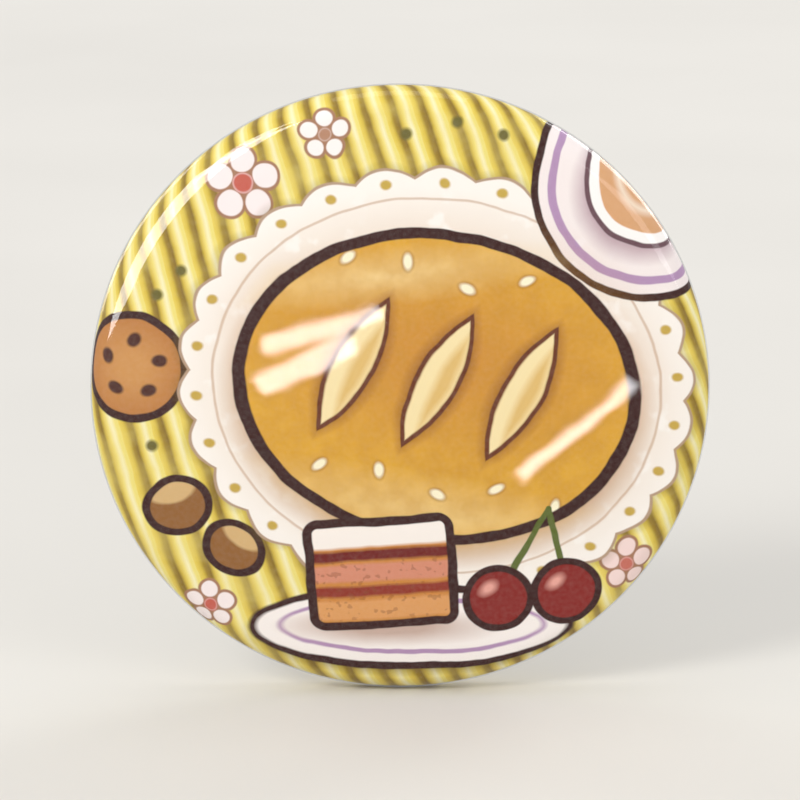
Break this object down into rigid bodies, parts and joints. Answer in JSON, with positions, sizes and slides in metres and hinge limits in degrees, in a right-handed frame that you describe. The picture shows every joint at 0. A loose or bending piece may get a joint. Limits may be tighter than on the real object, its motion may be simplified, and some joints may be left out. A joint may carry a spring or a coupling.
{
  "type": "button badge",
  "caption": "Round domed tin button badge: film-covered printed picture curled over a steel shell, dished back plate, and a captive safety pin that swings out and opens.",
  "frame": {"origin": "centre of the back plate's flat rear face", "axes": "-Y out of the picture side, +Y out of the back, +Z to the picture's top, +X to the right seen from the front"},
  "size_m": [0.058, 0.0062, 0.058],
  "materials": {
    "clear_film": "clear glossy PET film",
    "printed_paper": "coated paper, printed in gold, yellow and brown",
    "shell_tinplate": "bare tinplate, hidden under the print",
    "plate_tinplate": "bright rolled tinplate with fine scratches",
    "pin_wire": "nickel-plated drawn wire",
    "pin_arm_wire": "nickel-plated drawn wire with a ground point",
    "pin_clasp_sheet": "nickel-plated folded sheet"
  },
  "bodies": {
    "badge": {"clear_film": "clear_film", "printed_paper": "printed_paper", "front_shell": "shell_tinplate", "back_plate": "plate_tinplate"},
    "safety_pin": {"pin_spine": "pin_wire", "pin_clasp": "pin_clasp_sheet"},
    "pin_arm": {"pin_arm": "pin_arm_wire"}
  },
  "joints": [
    {"name": "pin_swing", "type": "hinge", "parent": "badge", "child": "safety_pin", "pos_m": [0, 0.00175, 0.0024], "axis": [1, 0, 0], "range_deg": [0, 135]},
    {"name": "pin_open", "type": "hinge", "parent": "safety_pin", "child": "pin_arm", "pos_m": [-0.015, 0.0025, -0.001], "axis": [0, 0.7071, 0.7071], "range_deg": [0, 40]}
  ]
}
